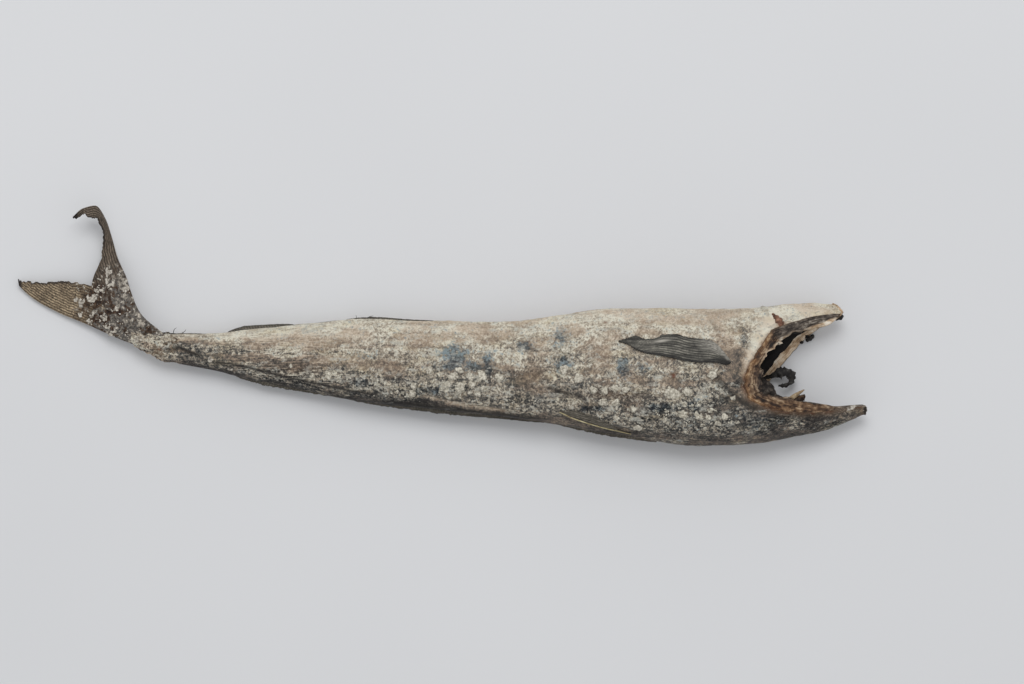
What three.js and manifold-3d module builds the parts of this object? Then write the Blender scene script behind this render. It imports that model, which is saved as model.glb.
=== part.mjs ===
// A dried saithe: headed and gutted, air-dried whole, lying on its side.
// Millimetres, +Z up. While it is drawn, x runs from the tail root to the collar and y towards the belly.
import * as THREE from "three";
import { LoftGeometry } from "three/addons/geometries/LoftGeometry.js";
import { mergeVertices } from "three/addons/utils/BufferGeometryUtils.js";
import Module from "manifold-3d";

const wasm = await Module();
wasm.setup();

// Driving dimensions of the trunk, one row for each place along it: the belly and back edges as seen
// from above, the thickness, and the height of the underside above the table.
const trunkRows = [
  { x: -24, belly: 15, back: 2, thick: 7, lift: 12 },
  { x: -12, belly: 12.5, back: -5, thick: 11, lift: 10 },
  { x: 0, belly: 11.5, back: -11, thick: 15, lift: 8 },
  { x: 21, belly: 10.5, back: -16, thick: 18, lift: 6 },
  { x: 50, belly: 10.5, back: -22, thick: 22, lift: 3.5 },
  { x: 79, belly: 13.5, back: -29, thick: 26, lift: 1.5 },
  { x: 121, belly: 18, back: -37.5, thick: 31, lift: 0 },
  { x: 183, belly: 23, back: -49, thick: 38, lift: 0 },
  { x: 222, belly: 21, back: -53.5, thick: 41, lift: 0 },
  { x: 296, belly: 20.5, back: -61.5, thick: 46, lift: 0 },
  { x: 334, belly: 25, back: -66.5, thick: 49, lift: 0 },
  { x: 387, belly: 32.5, back: -75.5, thick: 54, lift: 0 },
  { x: 461, belly: 32, back: -86, thick: 58, lift: 0 },
  { x: 510, belly: 32.5, back: -83.5, thick: 55, lift: 0 },
  { x: 540, belly: 36, back: -78, thick: 47, lift: 1 },
  { x: 574, belly: 35, back: -70, thick: 34, lift: 5 },
  { x: 604, belly: 24, back: -58, thick: 16, lift: 11 },
];
const trunkSteps = 56;
const trunkSides = 40;

// Cross-section of the trunk: boxier than an ellipse, thicker towards the back, flat where it lies.
const flankFlatness = 2.5;
const flankRoundness = 1.8;
const backBias = 0.2;
const restShare = 0.43;

// Shrinkage folds that run along the trunk.
const foldHeight = 0.9;
const foldsAround = 7;
const foldDrift = 0.011;

// Belly slit: a groove along the belly edge, from the vent to the throat.
const slit = { start: 250, end: 560, depth: 7, halfTurn: 0.03 };

// Collar: the cut behind the head, a deep bay between the throat and the nape.
const collarBay = [
  [572, 52],
  [582, 31],
  [585, 24],
  [578, 19],
  [553, 14.5],
  [530, 11.5],
  [514, 6],
  [507, -5],
  [502, -25],
  [505, -42],
  [517, -48.5],
  [549, -48.5],
  [568, -52.5],
  [588, -54.5],
  [612, -55],
];
const bayReach = 660;
const bayHeight = 48;
const farCollar = { shift: 42, fromY: -48, fullY: 8, untilY: 22 };

// Gut cavity behind the collar.
const cavity = { start: 428, end: 620, share: 0.85, ramp: 75, floorY: -44.5, middleRise: 10 };

// Tail fin: two lobes, each a row of ribs that run from its outer edge to its inner edge.
const upperLobe = [
  { outer: [16, 9, 15], inner: [14, -7, 15], thick: 12 },
  { outer: [-16, 29, 17], inner: [-32, 20, 15], thick: 7.5 },
  { outer: [-28, 60, 14], inner: [-57, 51, 10], thick: 3.6 },
  { outer: [-35, 75, 11], inner: [-50, 73, 12], thick: 2.6 },
  { outer: [-40, 91, 9], inner: [-47, 92, 18], thick: 2.4 },
  { outer: [-45.5, 108, 13], inner: [-49.5, 103, 22], thick: 2.4 },
  { outer: [-53.5, 119, 20], inner: [-56, 108, 24], thick: 2.4 },
  { outer: [-64, 116, 25], inner: [-65, 109.5, 22], thick: 2.2 },
  { outer: [-72.5, 108.5, 24], inner: [-71, 106.5, 22], thick: 1.8 },
];
const lowerLobe = [
  { outer: [14, -13, 15], inner: [16, 6, 15], thick: 12 },
  { outer: [-28, 3.5, 13], inner: [-26, 32, 15], thick: 7.5 },
  { outer: [-62, 18.5, 7], inner: [-57, 51, 10], thick: 3.6 },
  { outer: [-84, 27.5, 5], inner: [-80, 55.5, 8], thick: 2.6 },
  { outer: [-104, 37, 4], inner: [-99, 55, 7], thick: 2.4 },
  { outer: [-115, 47, 4], inner: [-112, 55.5, 6], thick: 2.2 },
  { outer: [-118.5, 53, 4], inner: [-117.5, 55.5, 5], thick: 1.8 },
];
const lobeSteps = 26;
const lobeSides = 14;

// Pectoral fins: a leaf pressed to each flank, its root at the collar and its tip towards the tail.
const pectoralFins = [
  { root: [487, -14], middle: [446, -3], tip: [393, 2.5], width: 21, flank: 1 },
  { root: [487, 12], middle: [446, 17], tip: [398, 15], width: 13, flank: -1 },
];
const pectoralThick = 3.4;
const pectoralSteps = 14;

// Dried fins along the edges: thin blades folded against the back and the belly.
const edgeFins = [
  { edge: "belly", from: 61, to: 116, height: 4.5, peak: 0.2 },
  { edge: "belly", from: 160, to: 236, height: 2.5, peak: 0.35 },
  { edge: "back", from: 66, to: 128, height: 3.5, peak: 0.3 },
  { edge: "back", from: 160, to: 262, height: 3.5, peak: 0.4 },
  { edge: "back", from: 345, to: 420, height: 4.5, peak: 0.5 },
];
const edgeFinThick = 3;
const edgeFinRoot = 4;
const edgeFinSteps = 12;

// Dried strip of gut that curls out of the cavity, and a bone splinter at the nape.
const gutStrip = [
  [505, -23, 3.4],
  [517, -25, 5],
  [527, -21.5, 11],
  [537, -19, 13],
  [544, -24, 15],
  [543, -31, 15],
  [529, -35, 14],
];
const gutStripSize = { wide: 5.5, thick: 2.6, steps: 22 };
const splinter = { from: [533, -50, 24], to: [549, -41, 27], radius: 1.6, tipRadius: 0.6 };

const skinMaterial = new THREE.MeshStandardMaterial({ color: 0x8c8170, roughness: 0.85, metalness: 0 });

const { clamp, lerp, smoothstep } = THREE.MathUtils;

// A closed geometry as a solid that can be joined and cut.
function solidOf(geometry) {
  const bare = new THREE.BufferGeometry();
  bare.setAttribute("position", geometry.attributes.position);
  bare.setIndex(geometry.index);
  const merged = mergeVertices(bare);
  return new wasm.Manifold(
    new wasm.Mesh({
      numProp: 3,
      vertProperties: merged.attributes.position.array,
      triVerts: new Uint32Array(merged.index.array),
    }),
  );
}

// A solid skinned over count + 1 rings, where ring(share, turn) is the point at a share of the way along
// and a turn, from 0 to 1, around.
function loftSolid(ring, count, sides) {
  const sections = [];
  for (let i = 0; i <= count; i++) {
    const points = [];
    for (let j = 0; j < sides; j++) points.push(ring(i / count, j / sides));
    sections.push(points);
  }
  return solidOf(new LoftGeometry(sections, { capStart: true, capEnd: true }));
}

// The trunk's rows as one smooth function of x.
const trunkAt = (() => {
  const keys = ["belly", "back", "thick", "lift"];
  const places = trunkRows.map((row) => row.x);
  const values = trunkRows.flatMap((row) => keys.map((key) => row[key]));
  const curve = new THREE.CubicInterpolant(places, values, keys.length, new Array(keys.length));
  return (x) => {
    const [belly, back, thick, lift] = curve.evaluate(x);
    const clear = Math.max(lift, 0);
    return { belly, back, thick, lift: clear, middle: (belly + back) / 2, half: (belly - back) / 2 };
  };
})();

// Half the thickness of the trunk at a place across it, from -1 at the back to 1 at the belly.
function flankHeight(row, across) {
  const bulge = (1 - Math.abs(across) ** flankFlatness) ** (1 / flankRoundness);
  return (row.thick / 2) * bulge * (1 - backBias * across);
}

// Height of the trunk's mid-plane.
const midHeight = (row) => row.lift + row.thick * restShare;

// A point of the trunk's skin: turn 0 is the belly edge, 0.25 the upper flank and 0.5 the back.
function skinPoint(x, turn) {
  const row = trunkAt(x);
  const angle = turn * 2 * Math.PI;
  const across = Math.cos(angle);
  const flank = Math.sign(Math.round(Math.sin(angle) * 1e6));
  const fold = foldHeight * Math.cos(foldsAround * angle + foldDrift * x) * Math.abs(Math.sin(angle));
  const z = midHeight(row) + flank * (flankHeight(row, across) + fold * smoothstep(x, 20, 160));
  const fromSlit = Math.abs(turn > 0.5 ? turn - 1 : turn) / slit.halfTurn;
  const open = smoothstep(x, slit.start, slit.start + 60) * (1 - smoothstep(x, slit.end - 40, slit.end));
  const groove = slit.depth * open * clamp(1 - fromSlit, 0, 1);
  return new THREE.Vector3(x, row.middle + row.half * across - groove, Math.max(z, row.lift));
}

// Height of the skin over a point of the plan, on the upper flank (1) or the lower flank (-1).
function skinHeight(x, y, flank) {
  const row = trunkAt(x);
  const across = clamp((y - row.middle) / row.half, -1, 1);
  return Math.max(midHeight(row) + flank * flankHeight(row, across), row.lift);
}

function makeTrunk() {
  const from = trunkRows[0].x;
  const to = trunkRows.at(-1).x;
  return loftSolid((share, turn) => skinPoint(lerp(from, to, share), turn), trunkSteps, trunkSides);
}

// The bay of the collar. It leans, so that the lower flank reaches further forward than the upper one.
function makeCollarBay() {
  const outline = new THREE.Shape();
  outline.moveTo(bayReach, collarBay[0][1]);
  outline.lineTo(...collarBay[0]);
  outline.splineThru(collarBay.slice(1).map(([x, y]) => new THREE.Vector2(x, y)));
  outline.lineTo(bayReach, collarBay.at(-1)[1]);
  const geometry = new THREE.ExtrudeGeometry(outline, {
    depth: 2 * bayHeight,
    steps: 4,
    bevelEnabled: false,
    curveSegments: 3,
  });
  geometry.translate(0, 0, -bayHeight / 2);
  const place = geometry.attributes.position;
  for (let i = 0; i < place.count; i++) {
    const y = place.getY(i);
    const belowThroat = clamp((farCollar.untilY - y) / (farCollar.untilY - farCollar.fullY), 0, 1);
    const aboveNape = clamp((y - farCollar.fromY) / (farCollar.fullY - farCollar.fromY), 0, 1);
    const lean = 1 - place.getZ(i) / bayHeight;
    place.setX(i, place.getX(i) + farCollar.shift * belowThroat * aboveNape * lean);
  }
  return solidOf(geometry);
}

// The gut cavity follows the trunk's own sections, drawn in, and is closed towards the tail.
function makeCavity() {
  const ring = (share, turn) => {
    const x = lerp(cavity.start, cavity.end, share);
    const row = trunkAt(Math.min(x, trunkRows.at(-1).x));
    const angle = turn * 2 * Math.PI;
    const across = Math.cos(angle);
    const flank = Math.sign(Math.round(Math.sin(angle) * 1e6));
    const grow = cavity.share * Math.sqrt(clamp((x - cavity.start) / cavity.ramp, 0.01, 1));
    const middle = row.middle + cavity.middleRise;
    const y = middle + grow * (row.half * across - cavity.middleRise);
    const z = midHeight(row) + grow * flank * Math.min(flankHeight(row, across), row.thick * restShare);
    return new THREE.Vector3(x, Math.max(y, cavity.floorY), z);
  };
  return loftSolid(ring, 14, 28);
}

// A thin fin skinned over ribs, thickest along its middle.
function makeLobe(ribs) {
  const outerEdge = new THREE.CatmullRomCurve3(ribs.map((rib) => new THREE.Vector3(...rib.outer)));
  const innerEdge = new THREE.CatmullRomCurve3(ribs.map((rib) => new THREE.Vector3(...rib.inner)));
  const thickness = new THREE.CubicInterpolant(
    ribs.map((_, i) => i / (ribs.length - 1)),
    ribs.map((rib) => rib.thick),
    1,
    [0],
  );
  return loftSolid(
    (share, turn) => {
      const angle = turn * 2 * Math.PI;
      const outer = outerEdge.getPoint(share);
      const inner = innerEdge.getPoint(share);
      const along = outerEdge.getTangent(share).add(innerEdge.getTangent(share));
      const face = inner.clone().sub(outer).cross(along).normalize();
      const swell = Math.sign(Math.sin(angle)) * Math.abs(Math.sin(angle)) ** 0.6;
      const middle = outer.lerp(inner, (1 - Math.cos(angle)) / 2);
      return middle.addScaledVector(face, (thickness.evaluate(share)[0] / 2) * swell);
    },
    lobeSteps,
    lobeSides,
  );
}

// A pectoral fin lies on the skin, its root and underside grown into it.
function makePectoral({ root, middle, tip, width, flank }) {
  const spine = new THREE.QuadraticBezierCurve(
    new THREE.Vector2(...root),
    new THREE.Vector2(...middle),
    new THREE.Vector2(...tip),
  );
  const ring = (share, turn) => {
    const angle = turn * 2 * Math.PI;
    const { x, y } = spine.getPoint(share);
    const leaf = Math.abs(Math.sin(Math.PI * share ** 0.7)) ** 0.7;
    const half = (width / 2) * Math.max(leaf, lerp(0.3, 0.03, share));
    const side = y - half * Math.cos(angle);
    const z = skinHeight(x, side, flank) + (pectoralThick / 2) * Math.sin(angle);
    return new THREE.Vector3(x, side, z);
  };
  return loftSolid(ring, pectoralSteps, 12);
}

// A blade along an edge of the trunk, highest at its peak and rooted inside the skin.
function makeEdgeFin({ edge, from, to, height, peak }) {
  const outward = edge === "belly" ? 1 : -1;
  return loftSolid(
    (share, turn) => {
      const x = lerp(from, to, share);
      const row = trunkAt(x);
      const angle = turn * 2 * Math.PI;
      const rise = Math.min(share / peak, (1 - share) / (1 - peak));
      const reach = height * Math.sqrt(Math.max(rise, 0)) + edgeFinRoot * 0.2;
      const depth = lerp(-edgeFinRoot, reach, (1 + Math.cos(angle)) / 2);
      const z = midHeight(row) + outward * (edgeFinThick / 2) * Math.sin(angle);
      return new THREE.Vector3(x, row[edge] + outward * depth, z);
    },
    edgeFinSteps,
    8,
  );
}

function makeGutStrip() {
  const { wide, thick, steps } = gutStripSize;
  const section = new THREE.Shape().absellipse(0, 0, thick / 2, wide / 2, 0, 2 * Math.PI);
  const path = new THREE.CatmullRomCurve3(gutStrip.map((point) => new THREE.Vector3(...point)));
  return solidOf(new THREE.ExtrudeGeometry(section, { steps, extrudePath: path, curveSegments: 5 }));
}

function makeSplinter() {
  const start = new THREE.Vector3(...splinter.from);
  const end = new THREE.Vector3(...splinter.to);
  const axis = end.clone().sub(start);
  const geometry = new THREE.CylinderGeometry(splinter.tipRadius, splinter.radius, axis.length(), 7);
  geometry.applyQuaternion(
    new THREE.Quaternion().setFromUnitVectors(new THREE.Vector3(0, 1, 0), axis.clone().normalize()),
  );
  geometry.translate(...start.lerp(end, 0.5));
  return solidOf(geometry);
}

// The fish is one piece: the trunk, cut and hollowed at the collar, with its fins and scraps grown on.
let fishSolid = makeTrunk().subtract(makeCavity()).subtract(makeCollarBay());
for (const lobe of [upperLobe, lowerLobe]) fishSolid = fishSolid.add(makeLobe(lobe));
for (const fin of pectoralFins) fishSolid = fishSolid.add(makePectoral(fin));
for (const fin of edgeFins) fishSolid = fishSolid.add(makeEdgeFin(fin));
fishSolid = fishSolid.add(makeGutStrip()).add(makeSplinter());

const fishMesh = fishSolid.getMesh();
const fishGeometry = new THREE.BufferGeometry();
fishGeometry.setAttribute("position", new THREE.BufferAttribute(fishMesh.vertProperties, 3));
fishGeometry.setIndex(new THREE.BufferAttribute(fishMesh.triVerts, 1));
fishGeometry.computeVertexNormals();

const fish = new THREE.Mesh(fishGeometry, skinMaterial);
fish.name = "dried_saithe";

// The part's own frame: origin on the table, under the middle of the fish.
const extent = new THREE.Box3().setFromObject(fish);
const centre = extent.getCenter(new THREE.Vector3());
fish.position.set(-centre.x, -centre.y, -extent.min.z);

const part = new THREE.Group();
part.add(fish);

export default part;
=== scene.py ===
import bisect
import math
import random

import bmesh
import bpy
from mathutils import Matrix, Vector, noise
from mathutils.bvhtree import BVHTree
from mathutils.kdtree import KDTree


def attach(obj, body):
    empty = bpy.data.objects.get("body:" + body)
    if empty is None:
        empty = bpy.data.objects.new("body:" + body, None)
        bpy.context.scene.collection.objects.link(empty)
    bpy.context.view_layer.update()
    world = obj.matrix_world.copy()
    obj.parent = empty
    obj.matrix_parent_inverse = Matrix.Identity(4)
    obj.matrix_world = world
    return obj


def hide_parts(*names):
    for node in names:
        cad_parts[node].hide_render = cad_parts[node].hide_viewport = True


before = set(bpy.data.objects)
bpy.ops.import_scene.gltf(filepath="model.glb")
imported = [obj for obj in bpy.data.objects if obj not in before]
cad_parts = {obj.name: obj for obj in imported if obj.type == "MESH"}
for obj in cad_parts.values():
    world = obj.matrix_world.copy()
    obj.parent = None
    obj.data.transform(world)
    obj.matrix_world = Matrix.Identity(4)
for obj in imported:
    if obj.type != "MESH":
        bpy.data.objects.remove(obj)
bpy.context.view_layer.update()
print("frame loaded:", list(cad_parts))

random.seed(7)
tailRoot = Vector((-242.7024, -16.5196, 0.0))  # the drawing starts at the tail root, in millimetres


def place(x, y, z):
    return (Vector((x, y, z)) + tailRoot) * 0.001


def mix(a, b, share):
    return a + (b - a) * share


def ease(low, high, value):
    share = min(1.0, max(0.0, (value - low) / (high - low)))
    return share * share * (3.0 - 2.0 * share)


def wave(x, y, z=0.0):
    return noise.noise(Vector((x, y, z)))


def cloud(x, y, z, size, octaves=4):  # layered noise whose largest blotches have this size
    return noise.fractal(Vector((x / size, y / size, z / size)), 0.8, 2.1, octaves)


def grainAt(x, y, z, size):  # round-topped grains: height, and the grain's own number
    distances, points = noise.voronoi(Vector((x / size, y / size, z / size)))
    own = noise.cell(points[0] * 7.31) * 0.5 + 0.5
    return max(0.0, 1.0 - distances[0] / 0.75), own


def smoothLine(pairs):  # a curve through (place, value) pairs that doesn't overshoot
    pairs = sorted(pairs)
    xs = [p[0] for p in pairs]
    ys = [p[1] for p in pairs]
    rises = [(ys[i + 1] - ys[i]) / (xs[i + 1] - xs[i]) for i in range(len(xs) - 1)]
    slopes = [rises[0]]
    for before, after in zip(rises, rises[1:]):
        slopes.append(0.0 if before * after <= 0 else 2 * before * after / (before + after))
    slopes.append(rises[-1])

    def valueAt(x):
        if x <= xs[0]:
            return ys[0]
        if x >= xs[-1]:
            return ys[-1]
        i = bisect.bisect_right(xs, x) - 1
        step = xs[i + 1] - xs[i]
        t = (x - xs[i]) / step
        tt = t * t
        ttt = tt * t
        low = (2 * ttt - 3 * tt + 1) * ys[i] + (ttt - 2 * tt + t) * step * slopes[i]
        return low + (3 * tt - 2 * ttt) * ys[i + 1] + (ttt - tt) * step * slopes[i + 1]

    return valueAt


def evenLine(values):  # values spread evenly over a share from 0 to 1
    return smoothLine([(i / (len(values) - 1), value) for i, value in enumerate(values)])


def curveThrough(points):  # a smooth path through points, read at a share from 0 to 1
    lines = [evenLine([p[axis] for p in points]) for axis in range(len(points[0]))]
    return lambda share: Vector([line(share) for line in lines])


# colour and nodes


def tint(code, alpha=1.0):
    channels = [int(code[i:i + 2], 16) / 255 for i in (1, 3, 5)]
    return tuple(c / 12.92 if c <= 0.04045 else ((c + 0.055) / 1.055) ** 2.4 for c in channels) + (alpha,)


def addNode(tree, kind, settings=None, links=None):
    node = tree.nodes.new("ShaderNode" + kind)
    for name, value in (settings or {}).items():
        if name == "stops":
            ramp = node.color_ramp
            while len(ramp.elements) < len(value):
                ramp.elements.new(0.5)
            for element, (position, code) in zip(ramp.elements, value):
                element.position = position
                element.color = tint(code)
        elif isinstance(name, int) or name in node.inputs:
            node.inputs[name].default_value = value
        else:
            setattr(node, name, value)
    for name, socket in (links or {}).items():
        tree.links.new(socket, node.inputs[name])
    return node


def newMaterial(name, roughness, marks=()):
    material = bpy.data.materials.new(name)
    material.use_nodes = True
    tree = material.node_tree
    shader = tree.nodes["Principled BSDF"]
    shader.inputs["Roughness"].default_value = roughness
    shader.inputs["Specular IOR Level"].default_value = 0.3
    coords = addNode(tree, "TexCoord").outputs["Object"]
    found = {m: addNode(tree, "Attribute", {"attribute_name": m}).outputs["Fac"] for m in marks}
    return material, tree, shader, coords, found


def layColours(tree, base, layers):  # flat colours laid over a tone, each by its own share
    for share, code in layers:
        base = addNode(tree, "Mix", {"data_type": "RGBA", 7: tint(code)}, {0: share, 6: base}).outputs[2]
    return base


def addUp(tree, total, parts):  # a total plus noises weighed by their amounts, each centred on zero
    for socket, amount in parts:
        centred = addNode(tree, "Math", {"operation": "SUBTRACT", 1: 0.5}, {0: socket}).outputs[0]
        node = addNode(tree, "Math", {"operation": "MULTIPLY_ADD", 1: amount}, {0: centred})
        if isinstance(total, float):
            node.inputs[2].default_value = total
        else:
            tree.links.new(total, node.inputs[2])
        total = node.outputs[0]
    return total


def addNoises(tree, kinds):  # noises by name: size in millimetres, detail and the coordinates to read
    made = {}
    for name, (size, detail, vector) in kinds.items():
        settings = {"Scale": 1000 / size, "Detail": float(detail), "Roughness": 0.62}
        made[name] = addNode(tree, "TexNoise", settings, {"Vector": vector}).outputs["Fac"]
    return made


def dressShader(tree, shader, tone, height, strength, distance):  # colour, and relief too fine to model
    tree.links.new(tone, shader.inputs["Base Color"])
    bump = addNode(tree, "Bump", {"Strength": strength, "Distance": distance}, {"Height": height})
    tree.links.new(bump.outputs["Normal"], shader.inputs["Normal"])


def addMarks(bm, names):  # numbers on each point that a material reads
    return {name: bm.verts.layers.float.new(name) for name in names}


def finishPiece(bm, name, materials, smooth=True):
    bmesh.ops.remove_doubles(bm, verts=bm.verts, dist=1e-6)
    bmesh.ops.recalc_face_normals(bm, faces=bm.faces)
    mesh = bpy.data.meshes.new(name)
    for face in bm.faces:
        face.smooth = smooth
    bm.to_mesh(mesh)
    bm.free()
    piece = bpy.data.objects.new(name, mesh)
    bpy.context.scene.collection.objects.link(piece)
    for material in materials:
        mesh.materials.append(material)
    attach(piece, "root")
    print("made", name, len(mesh.polygons), "faces")
    return piece


def bladeSide(angle, power):  # how far a blade's rounded section stands out on either face
    return math.copysign(abs(math.sin(angle)) ** power, math.sin(angle))


def addSheet(bm, along, around):  # a flat grid to be shaped: each point with its steps along and around
    grid = bmesh.ops.create_grid(bm, x_segments=along, y_segments=around, size=1.0)["verts"]
    return [(v, round((v.co.x + 1) / 2 * along), round((v.co.y + 1) / 2 * around)) for v in grid]


# dried skin: leathery and matt, cream at the belly and slate at the back, streaky, with lumps of pale crust


driedSkinMarks = ("tone", "rough", "crust", "bluish", "stain", "shade", "lined", "calm")


def makeDriedSkin():
    material, tree, shader, coords, found = newMaterial("driedSkin", 0.75, driedSkinMarks)

    def drawnOut(long, degrees=0):  # coordinates that stretch a pattern along the fish, or aslant
        turn = (0, 0, math.radians(degrees))
        settings = {"vector_type": "TEXTURE", "Scale": (long, 1.0, 1.0), "Rotation": turn}
        return addNode(tree, "Mapping", settings, {"Vector": coords}).outputs["Vector"]

    noises = addNoises(tree, {
        "patch": (9, 3, drawnOut(2.5)), "hue": (14, 4, drawnOut(2.5)),
        "speck": (2.6, 3, coords), "grain": (1.0, 2, coords),
        "clump": (6, 2, drawnOut(2.2)), "fleck": (2.4, 3, drawnOut(2.4)),
        "lines": (1.2, 3, drawnOut(12)), "hair": (1.4, 2, drawnOut(3)),
        "cross": (1.4, 2, drawnOut(2.5, 78)),
        "rising": (1.5, 2, drawnOut(3.0, 42)), "falling": (1.5, 2, drawnOut(3.0, -48)),
    })
    # the rows of scales leave short pale strokes aslant both ways
    slants = {0: noises["rising"], 1: noises["falling"]}
    strokes = addNode(tree, "Math", {"operation": "MAXIMUM"}, slants).outputs[0]
    # scales 2.4 mm wide, bent out of line by the shrinking, most of them dull and a few pale
    bend = addNode(tree, "TexNoise", {"Scale": 300.0, "Detail": 3.0}, {"Vector": coords}).outputs["Color"]
    bent = addNode(tree, "VectorMath", {"operation": "MULTIPLY_ADD", 1: (0.005, 0.005, 0.005)},
                   {0: bend, 2: coords}).outputs["Vector"]
    cells = addNode(tree, "TexVoronoi", {"Scale": 1000 / 2.4}, {"Vector": bent}).outputs["Color"]
    own = addNode(tree, "SeparateColor", {}, {"Color": cells}).outputs["Red"]
    scales = addNode(tree, "Math", {"operation": "POWER", 1: 2.0}, {0: own}).outputs[0]
    mottle = addUp(tree, 0.02, [
        (noises["patch"], 0.8), (noises["speck"], 0.6), (strokes, 1.5), (noises["grain"], 0.6),
        (scales, 0.36)])
    mottle = addNode(tree, "Math", {"operation": "SMOOTH_MAX", 1: -0.16, 2: 0.25}, {0: mottle}).outputs[0]
    # towards the tail the skin shrank into pale lines along the fish
    pale = addNode(tree, "Math", {"operation": "MAXIMUM", 1: 0.47}, {0: noises["lines"]}).outputs[0]
    pale = addUp(tree, -0.02, [(pale, 1.0)])
    scaled = {"operation": "MULTIPLY_ADD"}
    mottle = addNode(tree, "Math", scaled, {0: pale, 1: found["lined"], 2: mottle}).outputs[0]
    level = addNode(tree, "Math", scaled, {0: mottle, 1: found["rough"], 2: found["tone"]}).outputs[0]
    # crust: pale flecks with broken edges, and painted shade in the gaps just outside them
    field = addUp(tree, found["crust"], [
        (noises["clump"], 0.85), (noises["fleck"], 0.55), (strokes, 0.40), (noises["grain"], 0.2)])
    gapShade = addNode(tree, "ValToRGB", {"stops": [
        (0.34, "#bcbcbc"), (0.44, "#aaaaaa"), (0.54, "#cacaca")]}, {"Fac": field}).outputs["Color"]
    # fine lines along and across, drawn coarser than the real ones so that they show
    hairs = addUp(tree, 0.0, [(noises["hair"], 0.50), (noises["cross"], 0.60)])
    level = addNode(tree, "Math", scaled, {0: hairs, 1: found["rough"], 2: level}).outputs[0]
    # painted shade: the tone is darkened just outside each crust fleck
    level = addUp(tree, level, [(gapShade, 0.6)])
    tone = addNode(tree, "ValToRGB", {"stops": [
        (0.00, "#1d1d1d"), (0.12, "#343332"), (0.25, "#4e4d4a"), (0.38, "#6e6a63"), (0.50, "#8e8476"),
        (0.60, "#a59a8a"), (0.70, "#b9af9d"), (0.80, "#cac1af"), (0.90, "#d7d0bf"), (1.00, "#e3decd"),
    ]}, {"Fac": level}).outputs["Color"]
    warm = addUp(tree, found["calm"], [(noises["hue"], 1.6), (noises["speck"], 0.8)])
    pink = addNode(tree, "MapRange", {"From Min": 0.2, "From Max": 1.0, "To Max": 0.75}, {"Value": warm})
    straw = addNode(tree, "MapRange", {"From Min": 0.48, "From Max": 0.3, "To Max": 0.4},
                    {"Value": noises["hue"]})
    blue = addUp(tree, found["bluish"], [(noises["speck"], 2.0), (noises["patch"], 0.6), (scales, 0.3)])
    slate = addNode(tree, "MapRange", {"From Min": 0.1, "From Max": 0.6}, {"Value": blue})
    for share, code in ((pink, "#eee0d9"), (straw, "#f3e9cd"), (slate, "#96a9be")):
        tone = addNode(tree, "Mix", {"data_type": "RGBA", "blend_type": "MULTIPLY", 7: tint(code)},
                       {0: share.outputs["Result"], 6: tone}).outputs[2]
    flecks = addNode(tree, "MapRange", {"From Min": 0.45, "From Max": 0.60, "To Max": 0.7},
                     {"Value": field}).outputs["Result"]
    chalk = addNode(tree, "ValToRGB", {"stops": [
        (0.35, "#888681"), (0.5, "#b0aea4"), (0.65, "#d3d2c8")]}, {"Fac": noises["speck"]}).outputs["Color"]
    tone = addNode(tree, "Mix", {"data_type": "RGBA"}, {0: flecks, 6: tone, 7: chalk}).outputs[2]
    stain = addNode(tree, "ValToRGB", {"stops": [
        (0.2, "#7d6650"), (0.5, "#6f5138"), (0.8, "#6e3f2a")]}, {"Fac": found["stain"]}).outputs["Color"]
    tone = addNode(tree, "Mix", {"data_type": "RGBA"}, {0: found["stain"], 6: tone, 7: stain}).outputs[2]
    # painted shade in the creases
    tone = layColours(tree, tone, [(found["shade"], "#25221f")])
    dressShader(tree, shader, tone, addUp(tree, mottle, [(flecks, 0.5)]), 0.7, 0.0012)
    return material


# cut flesh: brown and amber where the head was cut away, streaky along the cut, with bone showing tan, dusky
# at throat and nape, and painted shade deep in the cut

cutFleshMarks = ("bone", "dusk", "amber", "cutAlong", "cutAcross")


def makeCutFlesh():
    material, tree, shader, coords, found = newMaterial("cutFlesh", 0.6, cutFleshMarks)
    runs = {"X": found["cutAlong"], "Y": found["cutAcross"]}
    streaked = addNode(tree, "CombineXYZ", {}, runs).outputs["Vector"]
    # streaks about 2 mm wide and 15 mm long, lumps 6 mm
    streak = addNode(tree, "TexNoise", {"Scale": 0.5, "Detail": 3.0, "Roughness": 0.6, "Distortion": 1.4},
                     {"Vector": streaked}).outputs["Fac"]
    lump = addNoises(tree, {"lump": (6, 4, coords)})["lump"]
    fibre = addUp(tree, 0.5, [(streak, 0.75), (lump, 0.85)])
    fleshStops = [(0.34, "#1c1410"), (0.45, "#3c2c22"), (0.57, "#6c543f"), (0.70, "#a68f74")]
    flesh = addNode(tree, "ValToRGB", {"stops": fleshStops}, {"Fac": fibre}).outputs["Color"]
    for mark, stops in (
        ("amber", [(0.34, "#40291a"), (0.46, "#705035"), (0.56, "#8c6a4a"), (0.68, "#b59a78")]),
        ("dusk", [(0.34, "#1e1a18"), (0.46, "#433b35"), (0.57, "#6a6056"), (0.68, "#aca498")]),
        ("bone", [(0.34, "#a88a6c"), (0.46, "#d2b696"), (0.57, "#e8d3b8"), (0.68, "#f4ead9")]),
    ):
        other = addNode(tree, "ValToRGB", {"stops": stops}, {"Fac": fibre}).outputs["Color"]
        flesh = addNode(tree, "Mix", {"data_type": "RGBA"}, {0: found[mark], 6: flesh, 7: other}).outputs[2]
    dressShader(tree, shader, flesh, fibre, 0.8, 0.0014)
    return material


# dried fin: horny membrane between fine rays, brown to slate, with mottled skin and flakes near its root


finMarks = ("ray", "crust", "tip", "root", "grey")


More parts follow.
